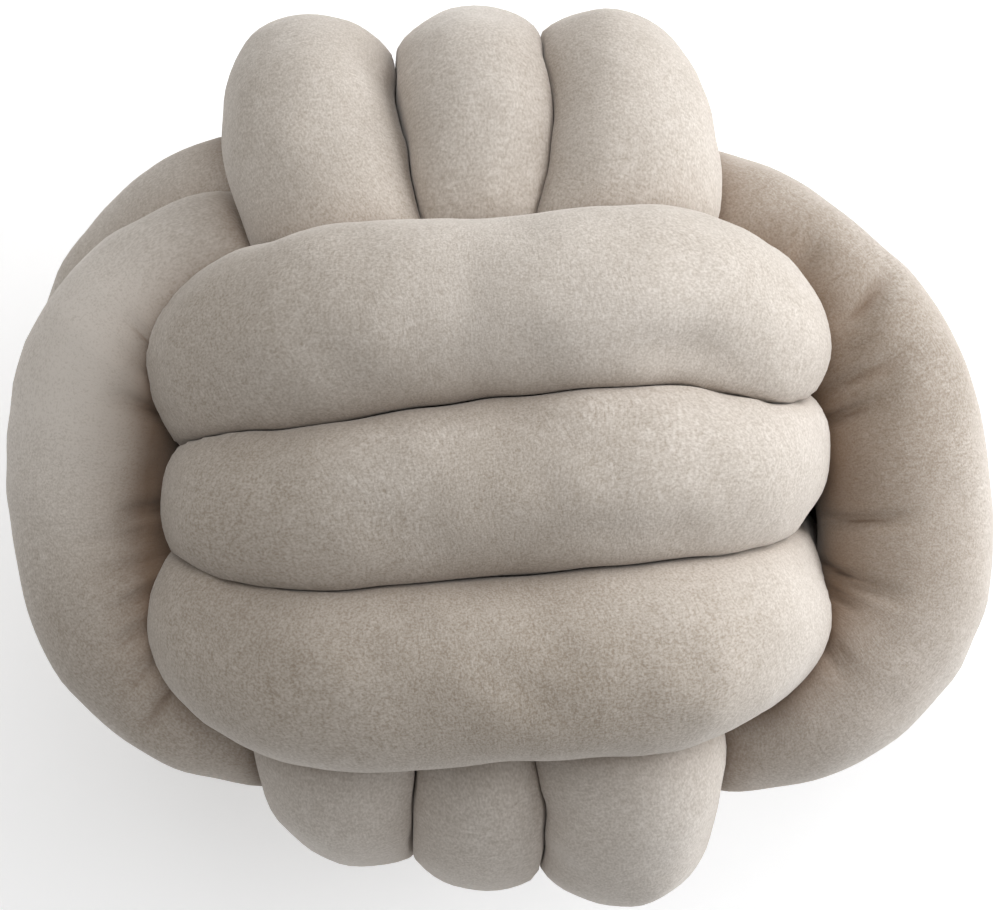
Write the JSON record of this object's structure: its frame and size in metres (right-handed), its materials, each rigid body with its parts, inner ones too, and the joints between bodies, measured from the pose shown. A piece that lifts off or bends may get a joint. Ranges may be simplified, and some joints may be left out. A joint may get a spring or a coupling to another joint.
{
  "type": "knot cushion",
  "caption": "Ball-shaped cushion made of one long stuffed plush tube, tied as a large monkey's fist with its ends tucked inside.",
  "frame": {"origin": "middle of the footprint of the cushion's box, on the surface that it rests on", "axes": "+Z out of the cushion's face, up as it lies on its back; +X along the strands that cross the face; +Y to the face's top edge"},
  "size_m": [0.3084, 0.288, 0.2875],
  "materials": {
    "plush": "short-pile plush, matt, warm beige"
  },
  "bodies": {
    "root": {"knotted_tube": "plush"}
  },
  "joints": []
}
